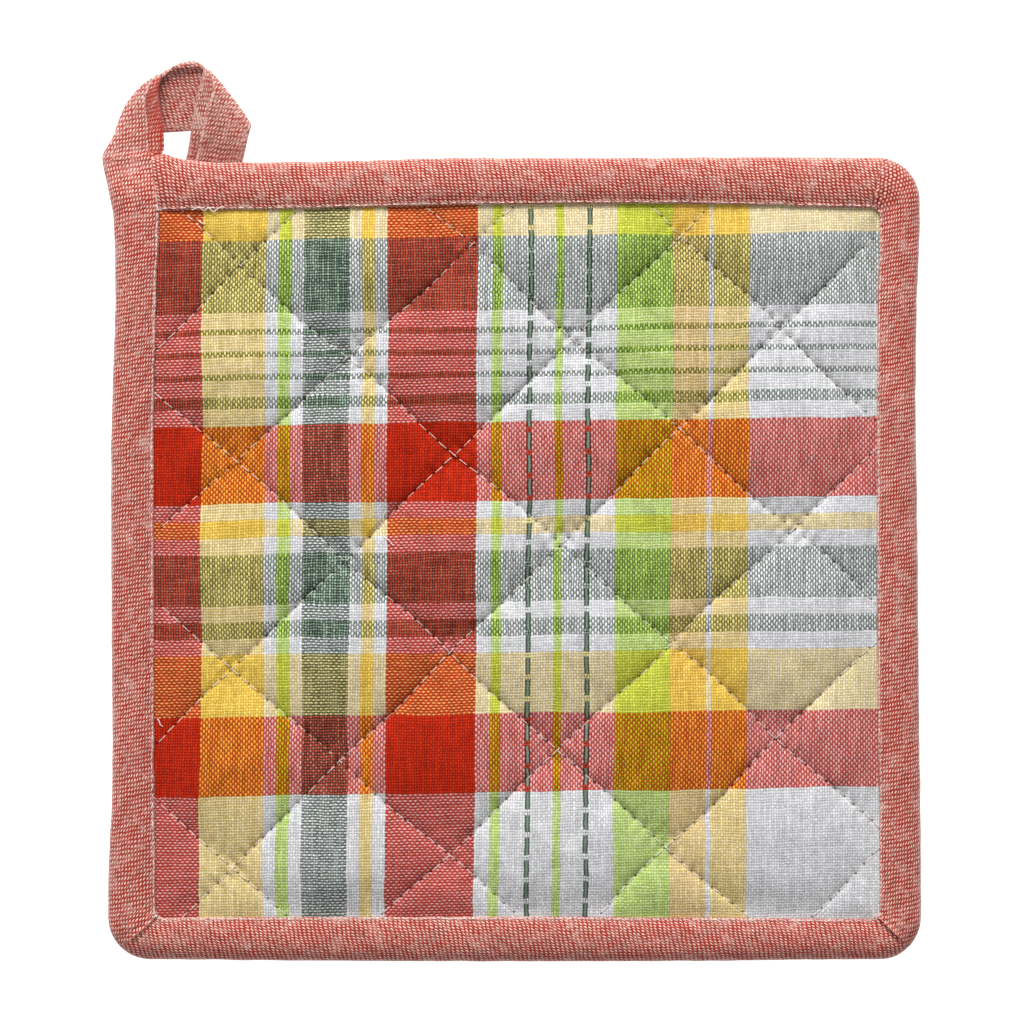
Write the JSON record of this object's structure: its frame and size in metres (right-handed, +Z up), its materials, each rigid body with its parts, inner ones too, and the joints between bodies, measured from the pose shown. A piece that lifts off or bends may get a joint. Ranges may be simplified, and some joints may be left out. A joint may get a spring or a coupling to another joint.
{
  "type": "quilted pot holder",
  "caption": "Square quilted cloth pot holder with a bound edge and a folded hanging loop at one corner, lying flat on its back.",
  "frame": {"origin": "on the table, under the middle of the whole piece's box, loop included", "axes": "+Z up out of the patterned front, +Y towards the edge with the hanging loop, +X to the right of the front seen from above"},
  "size_m": [0.203, 0.2229, 0.0082],
  "materials": {
    "plaid_cotton": "plain-weave cotton plaid in red, yellow, lime, slate and white, quilted over filling",
    "red_chambray": "plain-weave chambray, red one way and white the other, cut on the bias",
    "cotton_thread": "pale twisted sewing thread"
  },
  "bodies": {
    "root": {"quilted_pad": "plaid_cotton", "binding": "red_chambray", "hanging_loop": "red_chambray"}
  },
  "joints": []
}
